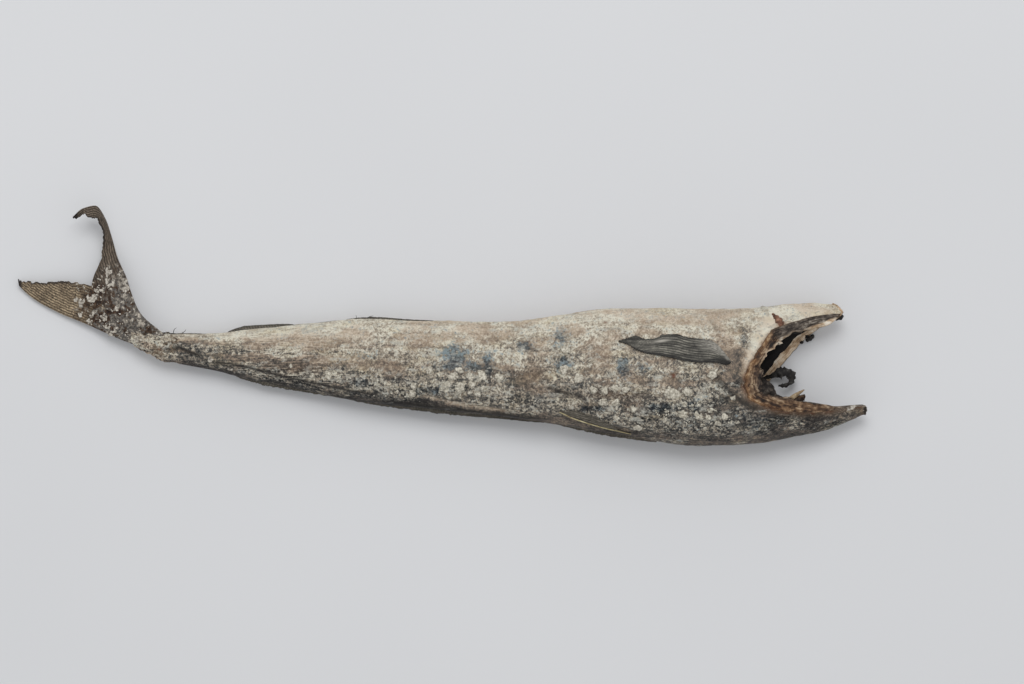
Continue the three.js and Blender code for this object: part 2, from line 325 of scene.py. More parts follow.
def makeDriedFin(name, membrane, rayTone, tipTone, rootStops, streakShape):
    material, tree, shader, coords, found = newMaterial(name, 0.65, finMarks)
    streaked = addNode(tree, "Mapping", {"Scale": streakShape}, {"Vector": coords}).outputs["Vector"]
    noises = addNoises(tree, {
        "grain": (1.3, 3, coords), "patch": (9, 3, coords), "mottle": (3.5, 4, coords),
        "streak": (1.3, 3, streaked),
    })
    uneven = addNode(tree, "MapRange", {"From Min": 0.3, "From Max": 0.6, "To Min": 0.3},
                     {"Value": noises["patch"]}).outputs["Result"]
    rays = addNode(tree, "Math", {"operation": "MULTIPLY"}, {0: found["ray"], 1: uneven}).outputs[0]
    blades = {"data_type": "RGBA", 6: tint(membrane), 7: tint(rayTone)}
    tone = addNode(tree, "Mix", blades, {0: rays}).outputs[2]
    blotch = addUp(tree, noises["patch"], [(noises["mottle"], 1.4), (found["grey"], 0.24)])
    rootTone = addNode(tree, "ValToRGB", {"stops": rootStops}, {"Fac": blotch}).outputs["Color"]
    tone = addNode(tree, "Mix", {"data_type": "RGBA"}, {0: found["root"], 6: tone, 7: rootTone}).outputs[2]
    tone = layColours(tree, tone, [(found["tip"], tipTone)])
    contrast = addUp(tree, 1.0, [(noises["grain"], 1.8), (noises["streak"], 2.4), (noises["mottle"], 1.0)])
    tone = addNode(tree, "VectorMath", {"operation": "SCALE"}, {0: tone, 3: contrast}).outputs["Vector"]
    tone = layColours(tree, tone, [(found["crust"], "#b5b0a6")])
    dressShader(tree, shader, tone, addUp(tree, noises["mottle"], [(noises["streak"], 1.0)]), 0.5, 0.0006)
    return material


# one mottled tone: chalky cream crust, clear yellow horn and bone, and the black crumbly skin of the gut,
# which in the cavity lining is also painted shade


def makePlainTone(name, roughness, size, stops, detail=4.0, strength=0.6, distance=0.0004):
    material, tree, shader, coords, found = newMaterial(name, roughness)
    mottle = addNode(tree, "TexNoise", {"Scale": 1000 / size, "Detail": detail, "Roughness": 0.65},
                     {"Vector": coords}).outputs["Fac"]
    tone = addNode(tree, "ValToRGB", {"stops": stops}, {"Fac": mottle}).outputs["Color"]
    dressShader(tree, shader, tone, mottle, strength, distance)
    return material


driedSkin = makeDriedSkin()
cutFlesh = makeCutFlesh()
gutGrain = 1000 / 260  # blotches of the gut and dried flesh, in millimetres
crumbly = {"detail": 5.0, "strength": 0.7, "distance": 0.001}
# the cavity lining is painted near black: partly the gut's own dark skin, partly painted shade deep in the
# cavity
gutLining = makePlainTone("gutLining", 0.65, gutGrain, [
    (0.35, "#090707"), (0.60, "#140f0d"), (0.80, "#2b2019")], **crumbly)
driedGut = makePlainTone("driedGut", 0.65, gutGrain, [
    (0.32, "#100e0d"), (0.52, "#242120"), (0.66, "#45423f"), (0.78, "#6d6a63")], **crumbly)
driedFlesh = makePlainTone("driedFlesh", 0.65, gutGrain, [
    (0.32, "#191614"), (0.47, "#38322f"), (0.58, "#5a524b"), (0.72, "#8f887d")], **crumbly)
rootStops = [
    (0.30, "#281a12"), (0.42, "#44301f"), (0.50, "#524539"), (0.58, "#53514f"), (0.69, "#6d665d"),
    (0.84, "#a59d91"),
]
# fin membranes: brown and rayed on the tail, slate on the pectorals, dull grey-brown along back and belly
tailSkin = makeDriedFin("tailFinSkin", "#4d4032", "#ab997e", "#2a221d", rootStops, (1.0, 1.0, 1.0))
hookSkin = makeDriedFin("hookedFinSkin", "#302820", "#786b5d", "#241e1a", rootStops, (1.0, 0.25, 1.0))
slateFin = makeDriedFin("slateFinSkin", "#2a2927", "#949085", "#1f1e1c", rootStops, (0.1, 1.0, 1.0))
duskFin = makeDriedFin("duskFinSkin", "#48443d", "#857e70", "#2f2c28", rootStops, (0.1, 1.0, 1.0))
# crusts are chalky and matt, bone and horn tan to yellow with a faint gloss, scabs dull red-brown or grey
saltCrust = makePlainTone("saltCrust", 0.9, 1.8, [(0.34, "#71695e"), (0.48, "#aea79c"), (0.62, "#d0cabf")])
boneTan = makePlainTone("boneTan", 0.6, 4, [(0.3, "#6e5a42"), (0.5, "#a38c6e"), (0.7, "#cbb898")])
hornEdge = makePlainTone("hornEdge", 0.5, 5, [(0.3, "#7d6e4d"), (0.5, "#b3a67f"), (0.7, "#d2c8a6")])
crustLime = makePlainTone("crustLime", 0.9, 1.8, [(0.32, "#767165"), (0.46, "#b3ac9d"), (0.62, "#dfdacb")])
redScab = makePlainTone("redScab", 0.7, 5, [(0.34, "#3a2a22"), (0.5, "#6d4a3a"), (0.66, "#a07a64")])
scabSkin = makePlainTone("scabSkin", 0.8, 3, [(0.34, "#40352b"), (0.5, "#857766"), (0.64, "#b9af9f")])
print("materials made")


# trunk: station, belly edge, back edge, thickness and lift off the table, in millimetres

trunk = {
    "stations": [
        (-24, 15, 2, 7, 12), (-12, 12.5, -5, 11, 10), (0, 11.5, -11, 15, 8), (21, 10.5, -16, 18, 6),
        (50, 10.5, -22, 22, 3.5), (79, 13.5, -29, 26, 1.5), (121, 18, -37.5, 31, 0.3),
        (183, 23, -49, 38, 0.3),
        (222, 21, -53.5, 41, 0.3), (296, 20.5, -61.5, 46, 0.3), (334, 25, -66.5, 49, 0.3),
        (387, 32.5, -75.5, 54, 0.3), (461, 32, -86, 58, 0.3), (510, 32.5, -83.5, 55, 0.3),
        (540, 36, -78, 47, 1), (574, 35, -70, 34, 5), (604, 24, -58, 16, 11),
    ],
    # how far forward the skin reaches at each place across: 1 is the belly edge, -1 the back
    "nearCollar": [
        (1.0, 575), (0.95, 579), (0.9, 581), (0.86, 581), (0.828, 570), (0.778, 555), (0.71, 541),
        (0.67, 531), (0.63, 522),
        (0.585, 519), (0.42, 512.5), (0.244, 505.5), (0.04, 499), (-0.13, 497), (-0.30, 499.5),
        (-0.40, 504.5),
        (-0.47, 513), (-0.545, 522), (-0.595, 530), (-0.64, 540), (-0.67, 549), (-0.705, 560),
        (-0.725, 570),
        (-0.755, 582), (-0.79, 594), (-0.86, 602), (-1.0, 602),
    ],
    "farCollar": [
        (1.0, 575), (0.95, 579), (0.9, 581), (0.86, 580), (0.8, 577.5), (0.7, 570), (0.5, 556),
        (0.257, 541.5), (0.02, 529),
        (-0.185, 519), (-0.33, 516), (-0.43, 526), (-0.49, 543), (-0.6, 556), (-0.7, 572), (-0.78, 592),
        (-0.86, 602), (-1.0, 602),
    ],
    # width of the cut face in front of the near edge and behind the far one
    "nearLip": [
        (1.0, 1.0), (0.88, 2.0), (0.82, 5), (0.778, 7), (0.71, 11), (0.63, 13), (0.52, 12), (0.4, 9),
        (0.25, 9.5), (0.1, 13),
        (-0.13, 15), (-0.3, 11), (-0.45, 11), (-0.62, 11.5), (-0.69, 9), (-0.76, 2), (-1.0, 1.0),
    ],
    "farLip": [
        (1.0, 1.0), (0.9, 3), (0.8, 5.5), (0.6, 6.5), (0.2, 6.5), (-0.2, 6.5), (-0.4, 4.5), (-0.6, 3),
        (-0.75, 1.5),
        (-1.0, 1.0),
    ],
    "napeFace": [
        (430, -44.5), (505, -44.5), (517, -47), (549, -48), (568, -52), (588, -54.5), (604, -55.5),
    ],
    # lightness of the bare skin, and how strongly it is mottled, from back to belly
    "zoneTone": [
        (-1, 0.34), (-0.8, 0.40), (-0.55, 0.45), (-0.25, 0.52), (0.1, 0.60), (0.45, 0.68), (0.75, 0.79),
        (1, 0.87),
    ],
    "zoneRough": [(-1, 1.2), (-0.5, 1.3), (0, 1.4), (0.6, 1.3), (1, 1.1)],
    "zoneFlecks": [(-1, 0.35), (-0.6, 0.38), (-0.2, 0.365), (0.2, 0.35), (1, 0.36)],
    # the skin is darker below this line along the back
    "backStrip": [
        (20, -12), (62, -15.5), (102, -24.7), (126, -30), (160, -37), (205, -42.5), (228, -45.5), (258, -52),
        (291, -58), (330, -66), (440, -90),
    ],
    "tailPoint": (-24, 8.5, 15),
    "cavityFrom": 428,
    "cavityPoint": (427, -20, 24),
    "shearFrom": 430,  # from here on the rows lean towards the slanting collar
    "rows": (330, 110, 12, 38),  # tail to shear, shear to collar, cut face, lining
    "around": 203,
}
stationLines = [smoothLine([(row[0], row[i]) for row in trunk["stations"]]) for i in range(1, 5)]
stationTable = [[line(-30 + 0.5 * i) for line in stationLines] for i in range(1300)]
nearCollar = smoothLine(trunk["nearCollar"])
farCollar = smoothLine(trunk["farCollar"])
nearLip = smoothLine(trunk["nearLip"])
farLip = smoothLine(trunk["farLip"])
napeFace = smoothLine(trunk["napeFace"])
zoneTone = smoothLine(trunk["zoneTone"])
zoneRough = smoothLine(trunk["zoneRough"])
zoneFlecks = smoothLine(trunk["zoneFlecks"])
backStrip = smoothLine(trunk["backStrip"])


def trunkRow(x):
    spot = min(max((x + 30) * 2, 0.0), 1298.0)
    i = int(spot)
    return [mix(a, b, spot - i) for a, b in zip(stationTable[i], stationTable[i + 1])]


def flankHeight(thick, across):
    return thick / 2 * (1 - min(1.0, abs(across)) ** 2.5) ** (1 / 1.8) * (1 - 0.2 * across)


def turnParts(turn):
    return math.cos(turn * 2 * math.pi), (1 if turn <= 0.5 else -1)


def skinPoint(x, turn):
    belly, back, thick, lift = trunkRow(x)
    across, side = turnParts(turn)
    y = (belly + back) / 2 + (belly - back) / 2 * across
    z = lift + thick * 0.43 + side * flankHeight(thick, across)
    fromSlit = min(turn, 1 - turn) / 0.03
    if fromSlit < 1:  # the belly slit, from vent to throat
        y -= 7 * (1 - fromSlit) * ease(250, 310, x) * (1 - ease(520, 560, x))
    return Vector((x, y, max(z, lift)))


def collarEdge(turn):
    across, side = turnParts(turn)
    edge = nearCollar(across) if side > 0 else farCollar(across)
    return edge + 1.4 * wave(turn * 70, side) + 1.0 * wave(turn * 190, side, 4.4)


def collarPoint(turn):
    return skinPoint(collarEdge(turn), turn)


def lipPoint(turn):  # the inner edge of the cut face, in front of the near skin and behind the far one
    across, side = turnParts(turn)
    run = collarPoint(min(1.0, turn + 0.006)) - collarPoint(max(0.0, turn - 0.006))
    run.z = 0
    run.normalize()
    wide = nearLip(across) if side > 0 else farLip(across)
    wide *= 1 + 0.3 * wave(turn * 50, side, 8.8) + 0.2 * wave(turn * 170, side, 2.2)
    spot = collarPoint(turn) + Vector((-run.y, run.x, 0)) * wide
    spot.z += (-0.25 if side > 0 else 0.55) * wide
    return spot


def liningPoint(x, turn):
    belly, back, thick, lift = trunkRow(min(x, 604))
    across, side = turnParts(turn)
    grow = 0.85 * math.sqrt(max(0.0, min(1.0, (x - trunk["cavityFrom"]) / 75)))
    half = (belly - back) / 2
    y = (belly + back) / 2 + 10 + grow * (half * across - 10)
    y = mix(y, napeFace(x), ease(-0.38, -0.47, across))
    z = lift + thick * 0.43 + side * max(0.0, grow * min(flankHeight(thick, across), thick * 0.43) - 2.5)
    return Vector((x, max(y - 2.5 * ease(0.5, 0.9, across), napeFace(x)), z))


def spreadTurns(count):  # places around the trunk, closer on the upper flank and at steep collar edges
    steps = 4000
    total = [0.0]
    for i in range(steps):
        t0 = i / steps
        t1 = (i + 1) / steps
        reach = (skinPoint(430, t1) - skinPoint(430, t0)).length
        reach += 0.3 * abs(collarEdge(t1) - collarEdge(t0))
        total.append(total[-1] + reach * (1.0 if t0 < 0.5 else 0.4))
    turns = []
    i = 0
    for k in range(count + 1):
        goal = total[-1] * k / count
        while i < steps - 1 and total[i + 1] < goal:
            i += 1
        turns.append((i + (goal - total[i]) / max(1e-9, total[i + 1] - total[i])) / steps)
    turns[-1] = 1.0
    return turns


# places on the upper flank, in millimetres of the drawing: x, y, half length, half height, amount
skinMarks = {
    "crust": [
        (263, -34, 30, 12, 0.50), (308, -51, 20, 6, 0.35), (206, -40, 20, 7, 0.40), (379, -38, 28, 5, 0.35),
        (390, -60, 26, 14, 0.30), (455, -58, 32, 24, 0.55), (566, -66, 36, 5, 0.35), (60, 2, 40, 6, 0.06),
        (12, 0, 18, 12, 0.40), (341, -4, 10, 20, 0.30), (140, -28, 60, 6, 0.28), (217, -8, 16, 13, 0.30),
        (450, -28, 30, 8, 0.12), (252, -6, 14, 7, 0.30), (284, -16, 6, 6, 0.30), (313, -4, 9, 6, 0.30),
        (120, 2, 80, 8, 0.10),
    ],
    "bluish": [
        (252, -2, 5, 3, 0.5), (253, -9, 9, 4.5, 1.0), (259, -19, 16, 3.2, 1.0), (280, -11, 4, 4, 0.8),
        (282, -22, 3, 3, 1.0), (312, -2, 6, 4, 0.75), (343, 6, 6, 6.5, 0.55), (345, -16, 6.5, 5, 1.0),
        (395, -19, 4, 6, 1.0), (413, -20, 6, 3.5, 0.5), (429, -54, 11, 3, 0.9), (455, -53, 4, 4, 0.8),
        (364, -54, 5, 2, 0.8), (377, -54, 3, 2, 0.8), (173, -32, 5, 3, 0.7), (232, -39, 13, 3, 0.6),
        (517, -64, 22, 8, 0.22), (470, -66, 50, 16, 0.16), (262, -16, 24, 14, 0.07),
        # the first mark on the next line, beside the collar ridge, is painted shade in the hollow there,
        # tinted blue-grey
        (498, 3, 3, 9, 0.22), (177, -8.5, 14, 2.5, 0.3),
    ],
    "stain": [
        (438, -27, 2.8, 2.6, 0.95), (381, 18.7, 2.6, 1.6, 0.8), (1, -4, 3, 1.8, 0.75),
        (530, 17, 4, 4, 0.6), (82, 12, 6, 3, 0.25), (378, -10, 8, 6, 0.2), (121, -20, 16, 5, 0.25),
        (202, -14, 14, 9, 0.22), (143, 1, 25, 4, 0.15), (321, -25, 16, 9, 0.32), (390, -43, 30, 4.5, 0.30),
        (250, 4, 26, 4, 0.12), (440, 20, 40, 4, 0.10),
    ],
    # gloom: patches painted darker; most are darker skin, but those at x 494 to 498 by the collar ridge are
    # painted shade in the hollow beside it
    "gloom": [
        (236, -39, 14, 4, 0.14), (202, -42, 14, 4, 0.12), (306, -45, 8, 4, 0.12), (341, -29, 4, 4, 0.16),
        (354, -35, 5, 3, 0.16), (341, -39, 6, 4, 0.16), (370, -54, 12, 3, 0.14), (429, -54, 12, 4, 0.10),
        (455, -53, 5, 5, 0.14), (479, -20, 6, 4, 0.20), (492, -34, 8, 9, 0.16), (520, -62, 32, 13, 0.11),
        (560, -62, 20, 10, 0.06),
        (498, 4, 4, 10, 0.24), (494, -14, 4, 8, 0.12), (113, -11, 14, 5, 0.06), (311, -28, 18, 12, 0.07),
        (400, -44.5, 24, 3.5, 0.12),
        (30, 0, 50, 14, 0.11), (40, 7, 34, 7, 0.09), (365, -8, 22, 9, 0.02), (452, -24, 24, 7, 0.10),
        (445, -64, 34, 12, 0.05), (200, -3, 30, 8, 0.02), (476, -52, 18, 10, 0.08), (497, -22, 8, 10, 0.16),
    ],
    "glow": [
        (211, -4, 16, 9, 0.05), (143, 16, 24, 4, 0.06), (121, -4, 12, 2.4, 0.20),
        (174, -8.5, 20, 3.4, 0.17),
        (170, -19.5, 8, 3, 0.14), (540, -71, 8, 2.5, 0.20), (545, 27, 25, 8, 0.17), (100, 14, 50, 8, 0.06),
        (308, -6, 4, 4, 0.12), (339, 13, 5, 4, 0.12), (338, -25, 3, 9, 0.12), (391, -18, 3, 6, 0.12),
        (249, 1, 5, 4, 0.15), (280, -6, 4, 5, 0.12), (470, 20, 40, 8, 0.03), (240, 14, 40, 6, 0.03),
        (100, 8, 70, 7, 0.20), (378, 23, 45, 10, 0.07), (107, -6, 40, 8, 0.05), (250, -32, 40, 8, 0.05),
        (190, -37, 35, 6, 0.04), (120, -13, 32, 4.5, 0.08), (190, -20, 40, 6, 0.04),
        (255, -10, 25, 12, 0.14),
    ],
    "smooth": [
        (492, -22, 11, 18, 0.9), (528, -60, 34, 15, 0.65), (578, -62, 28, 11, 0.7), (470, 26, 30, 8, 0.5),
        (560, 29, 24, 8, 0.6),
    ],
}
# lumps of crust that stand out, in the drawing's millimetres: x, y, radius
crustLumps = [
    (232, -22, 2.8), (251.5, -27, 4.4), (257.5, -22, 3.2), (266, -27, 3.6), (276, -26.5, 3.6),
    (219, -35, 3),
    (217, -41, 3.4), (257.5, -36.5, 4), (268, -35, 3.6), (273, -41.5, 3.2), (291.5, -28, 3.4),
    (345, -22, 3.4),
    (358, -29, 3.4), (367, -18, 2.6), (370.5, -38.5, 3), (380, -39, 3), (388.5, -37.5, 3),
    (397, -38.5, 2.8),
    (378.5, -49.5, 3.2), (389.5, -49.5, 3), (404.5, -55.5, 3), (408, -70.5, 3.6), (390, -63, 2.8),
    (436, -42.5, 5),
    (449, -40, 2.8), (469, -56, 2.6), (467.5, -62, 2.6), (481, -61, 2.6), (475, -67, 2.2), (488, -46, 1.8),
    (471, -24.5, 5), (146, -25.5, 3.6), (132, -26.5, 2.6), (114, -18, 1.6), (347.5, -4.5, 4.2),
]
# creases: line, width, depth, and how much shade is painted into them
skinCreases = [
    {"line": [(40, -13), (62, -15.5), (79, -18.8), (102, -24.7), (126, -30), (160, -37), (210, -46)],
     "wide": 1.2, "deep": 1.8, "dark": 0.9},
    {"line": [(4, -4), (12.7, -2.8), (19.5, -2.4), (28, -6), (41, -10)],
     "wide": 1.3, "deep": 1.6, "dark": 0.9},
    {"line": [(474, -23), (476, -31), (484, -40), (493, -47), (503, -52), (512, -54)],
     "wide": 2.8, "deep": 2.4, "dark": 0.75},
    {"line": [(466, 22), (474, 15), (477, 5)], "wide": 2.0, "deep": 1.2, "dark": 0.25},
    {"line": [(512, 35), (517, 28), (521, 23)], "wide": 1.8, "deep": 1.5, "dark": 0.25},
    {"line": [(328, -34), (342, -40), (357, -43), (368, -50)], "wide": 1.6, "deep": 1.4, "dark": 0.75},
    {"line": [(175, -46), (240, -52.5), (300, -59), (340, -64)], "wide": 1.6, "deep": 1.6, "dark": 0.85},
    {"line": [(450, 24), (480, 27), (512, 30)], "wide": 1.5, "deep": 1.0, "dark": 0.20},
    # folds below zero depth stand up and are painted lighter, partly paler skin and partly a painted
    # highlight on the fold; the last is the white ridge along the collar's near edge
    {"line": [(222, -42.5), (240, -47.5), (258, -51), (291, -56.5), (310, -59)],
     "wide": 1.5, "deep": -1.4, "dark": -0.32},
    {"line": [(64, -20), (113, -30), (150, -38), (190, -47)], "wide": 1.6, "deep": -0.8, "dark": -0.10},
    {"line": [(498, -29), (499.8, -24), (500.7, -17), (504, -6), (509, 3.4), (516, 13.6), (523, 24),
              (526, 30)],
     "wide": 5.0, "deep": -2.0, "dark": -0.54},
]


def markAt(kind, x, y):
    total = 0.0
    for mx, my, long, high, amount in skinMarks[kind]:
        far = ((x - mx) / long) ** 2 + ((y - my) / high) ** 2
        if far < 7:
            total += amount * math.exp(-0.75 * far if kind == "bluish" else -far)
    return min(1.0, total)


# depth of the creases at a place, and the shade painted into them
def creaseAt(x, y):  # depth and darkness of the creases at a place, both below zero on a pale fold
    deep = 0.0
    dark = 0.0
    for crease in skinCreases:
        line = crease["line"]
        if not line[0][0] - 13 < x < line[-1][0] + 13:
            continue
        last = len(line) - 2
        for k, ((ax, ay), (bx, by)) in enumerate(zip(line, line[1:])):
            long = (bx - ax) ** 2 + (by - ay) ** 2
            along = ((x - ax) * (bx - ax) + (y - ay) * (by - ay)) / long
            held = min(1.0, max(0.0, along))
            far = math.hypot(x - mix(ax, bx, held), y - mix(ay, by, held)) / crease["wide"]
            if far > 2.6:
                continue
            amount = math.exp(-far * far)
            if k == 0:
                amount *= ease(0.0, 0.6, held)
            if k == last:
                amount *= 1 - ease(0.4, 1.0, held)
            if abs(amount * crease["deep"]) > abs(deep):
                deep = amount * crease["deep"]
                dark = amount * crease["dark"]
    return deep, dark


def makeTrunk():
    rows = trunk["rows"]
    around = trunk["around"]
    turns = spreadTurns(around)
    ends = [rows[0], rows[0] + rows[1], rows[0] + rows[1] + rows[2]]
    edges = [collarEdge(t) for t in turns]
    rims = [collarPoint(t) for t in turns]
    lips = [lipPoint(t) for t in turns]
    cutRun = [0.0]
    for before, after in zip(rims, rims[1:]):
        cutRun.append(cutRun[-1] + (after - before).length)
    bm = bmesh.new()
    layers = addMarks(bm, driedSkinMarks + cutFleshMarks)
    sheet = addSheet(bm, sum(rows), around)
    for vert, i, j in sheet:
        turn = turns[j]
        across, side = turnParts(turn)
        if i == 0:
            spot = Vector(trunk["tailPoint"])
        elif i <= ends[0]:
            spot = skinPoint(mix(trunk["tailPoint"][0], trunk["shearFrom"], i / ends[0]), turn)
        elif i <= ends[1]:
            spot = skinPoint(mix(trunk["shearFrom"], edges[j], (i - ends[0]) / rows[1]), turn)
        elif i <= ends[2]:
            share = (i - ends[1]) / rows[2]
            spot = rims[j].lerp(lips[j], share)
            swell = math.sin(math.pi * share)
            spot.z += swell * (1.0 * (1 - abs(across)) + 1.7 * cloud(*spot, 5))
            throat = ease(0.84, 0.9, across)
            lamella = 0.8 * ease(0.75, 0.95, share) * ease(0.15, 0.3, across) * ease(0.75, 0.6, across)
            vert[layers["bone"]] = max(throat, lamella if side > 0 else ease(-0.36, -0.2, across))
            dusk = ease(0.55, 0.68, across) if side > 0 else ease(0.75, 0.85, across)
            fromSkin = share * (lips[j] - rims[j]).length
            # painted shade: on the near side the cut turns dusky deeper than 8 mm from the skin
            inside = 0.6 * ease(8, 14, fromSkin) if side > 0 else 0.0
            vert[layers["dusk"]] = max(dusk, ease(-0.7, -0.78, across), inside)
            amber = 1 - ease(1.0, 6.0, fromSkin + 3 * wave(rims[j].x * 0.2, rims[j].y * 0.2))
            vert[layers["amber"]] = max(amber * ease(-0.75, -0.5, across), 0.25 * ease(-0.45, -0.6, across))
            vert[layers["cutAlong"]] = cutRun[j] * 0.13
            vert[layers["cutAcross"]] = fromSkin
        elif i < sum(rows):
            share = (i - ends[2]) / rows[3]
            lip = lips[j]
            spot = liningPoint(mix(lip.x, trunk["cavityFrom"], share), turn)
            spot += (lip - liningPoint(lip.x, turn)) * (1 - ease(0.0, 0.12, share))
            throat = ease(0.6, 0.85, across)
            spot.y -= 5 * throat * ease(0.0, 0.05, share) * (1 - ease(0.1, 0.2, share))
            vert[layers["bone"]] = throat
            vert[layers["dusk"]] = ease(-0.6, -0.7, across)
            vert[layers["cutAlong"]] = cutRun[j] * 0.13
            inward = share * (lip.x - trunk["cavityFrom"])
            vert[layers["cutAcross"]] = (lip - rims[j]).length + 0.6 * inward
        else:
            spot = Vector(trunk["cavityPoint"])
        vert.co = spot
    bm.normal_update()
    upperRims = [rim for rim, turn in zip(rims, turns) if turn <= 0.5]
    rimTree = KDTree(len(upperRims))
    for k, rim in enumerate(upperRims):
        rimTree.insert((rim.x, rim.y, 0), k)
    rimTree.balance()
    moves = {}
    for vert, i, j in sheet:
        if i == 0 or i > ends[1]:
            continue
        x, y, z = vert.co
        across, side = turnParts(turns[j])
        near = side > 0
        relief = 1.3 * wave(x * 0.012, y * 0.03, 3.1 * side) + 0.8 * wave(x * 0.011, y * 0.12, 7.7 + side)
        relief += 0.5 * wave(x * 0.045, y * 0.3, 1.7 + side) + 0.3 * cloud(x, y, z, 6, 3)
        amount = markAt("crust", x, y) if near else 0.05
        swayX = x + 1.6 * wave(x * 0.25, y * 0.25, 2) + 0.7 * wave(x * 0.7, y * 0.7, 3)
        swayY = y + 1.6 * wave(x * 0.25, y * 0.25, 5) + 0.7 * wave(x * 0.7, y * 0.7, 6)
        top, own = grainAt(swayX, swayY, z, 5.0)
        field = zoneFlecks(across) + 0.16 * amount + 0.06 * cloud(x, y, z, 10, 3)
        ridged = ease(-0.80, -0.94, across)  # round the back the skin is smooth, dark and finely lined
        smooth = max(markAt("smooth", x, y) if near else 0.4, 0.8 * ridged)
        field -= 0.10 * smooth + 0.05 * ease(120, 60, x) * ease(6, 20, x)
        field += (0.05 + 0.35 * amount) * (top * (0.4 + own) - 0.35)
        field = min(1.0, max(0.0, field))
        crust = ease(0.44, 0.62, field)
        blue = 1.45 * markAt("bluish", x, y) if near else 0.0
        blue *= 0.8 + 0.7 * cloud(x + 50, y, z, 6)
        blue = min(1.0, max(0.0, blue))
        deep, dark = creaseAt(x, y) if near else (0.0, 0.0)
        browned = 0.0
        if near and x > 480:
            faded = rimTree.find((x, y, 0))[2] / mix(3.2, 1.7, ease(-0.3, 0.1, across))
            browned = (0.55 + 0.3 * cloud(x, y, z, 5)) * math.exp(-faded * faded)
            browned *= 1 - ease(0.6, 0.7, across)
        tailward = ease(28, 2, x)
        # painted shade between the crust flecks: darker where crust is dense but no fleck stands, towards
        # the back
        tone = zoneTone(across) - 0.16 * amount * (1 - crust) * ease(0.5, 0.0, across)
        tone -= 0.13 * ease(0.0, -2.0, y - backStrip(x)) * ease(10, 40, x)
        tone += 0.05 * cloud(x, y, z, 30) + 0.08 * cloud(x, y + 90, z, 9)
        banded = mix(1.0, 0.5, ease(240, 380, x))
        tone += banded * (0.16 * wave(x * 0.012, y * 0.2, 4.0) + 0.12 * wave(x * 0.03, y * 0.5, 9.0))
        # lighter and darker patches, the darker ones partly painted shade in the hollow beside the collar
        # ridge
        if near:
            tone += markAt("glow", x, y) - 1.3 * markAt("gloom", x, y)
        vert[layers["tone"]] = mix(tone, 0.63 + 0.16 * cloud(x, y, z, 7), tailward)
        # bands and blotches of smooth brown skin between the flaky ones
        bands = math.exp(-((across - 0.42) / 0.17) ** 2) + math.exp(-((across + 0.16) / 0.15) ** 2)
        bands -= math.exp(-((across - 0.12) / 0.10) ** 2) + ease(0.65, 0.85, across)
        calm = 0.45 * bands * ease(270, 170, x) + 0.9 * cloud(x / 2.0, y, z, 13, 3) - 0.5 * amount
        calm += smooth - 0.4 * ease(-0.5, -0.75, across)
        calm = ease(-0.35, 0.45, calm)
        vert[layers["calm"]] = calm
        vert[layers["tone"]] += 0.02 - 0.05 * calm
        rough = zoneRough(across) * mix(1.05, 0.55, calm) * (1 - 0.3 * smooth)
        vert[layers["rough"]] = mix(rough * mix(0.75, 1.0, ease(20, 110, x)), 1.5, tailward)
        hindLines = mix(mix(1.0, 2.6, ease(40, 100, x)), 0.0, ease(90, 230, x))
        napeLines = 2.6 * ease(500, 525, x) * ease(-0.3, -0.5, across)
        vert[layers["lined"]] = max(hindLines, napeLines, 2.2 * ridged)
        vert[layers["crust"]] = field
        vert[layers["bluish"]] = blue
        vert[layers["tone"]] -= 0.02 * blue
        vert[layers["stain"]] = max(browned, markAt("stain", x, y)) if near else 0.0
        # painted shade in the creases, and a lighter tone painted on the raised pale folds
        vert[layers["tone"]] -= min(0.0, dark)
        vert[layers["shade"]] = max(0.0, dark)
        relief += 1.2 * crust - deep + 1.6 * tailward * cloud(x, y, z, 4)
        moves[i, j] = vert.normal * relief * ease(0.2, 2.5, z)  # none where it lies on the table
    for vert, i, j in sheet:
        if (i, j) in moves:
            vert.co += moves[i, j]
        elif ends[1] < i <= ends[2]:
            vert.co += moves[ends[1], j] * (1 - (i - ends[1]) / rows[2])
        vert.co.z = max(vert.co.z, 0.2)
    for face in bm.faces:
        face.material_index = 2
    for vert, i, j in sheet:
        vert.co = place(*vert.co)
        inner = round(8 + 6 * wave(turns[j] * 60, 1.3)) if abs(turnParts(turns[j])[0] - 0.02) > 0.73 else 0
        if i < ends[2] + inner:
            for face in vert.link_faces:
                face.material_index = min(face.material_index, 0 if i < ends[1] else 1)
    bmesh.ops.remove_doubles(bm, verts=bm.verts, dist=1e-6)
    bmesh.ops.recalc_face_normals(bm, faces=bm.faces)
    tree = BVHTree.FromBMesh(bm)
    crusted = [v for v in bm.verts if v[layers["crust"]] > 0.44]
    spots = [(v.co.copy(), v.normal.copy(), v[layers["crust"]]) for v in crusted]
    return finishPiece(bm, "trunkSkin", [driedSkin, cutFlesh, gutLining]), tree, spots


trunkSkin, skinTree, crustSpots = makeTrunk()
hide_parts("dried_saithe")


def skinAt(x, y, side=1):  # height of the finished skin over or under a place, in millimetres
    start = place(x, y, 150 * side)
    hit = skinTree.ray_cast(start, Vector((0, 0, -side)))[0]
    return hit.z * 1000 if hit else None


# tail fin: ribs of each lobe as outer edge, inner edge and thickness

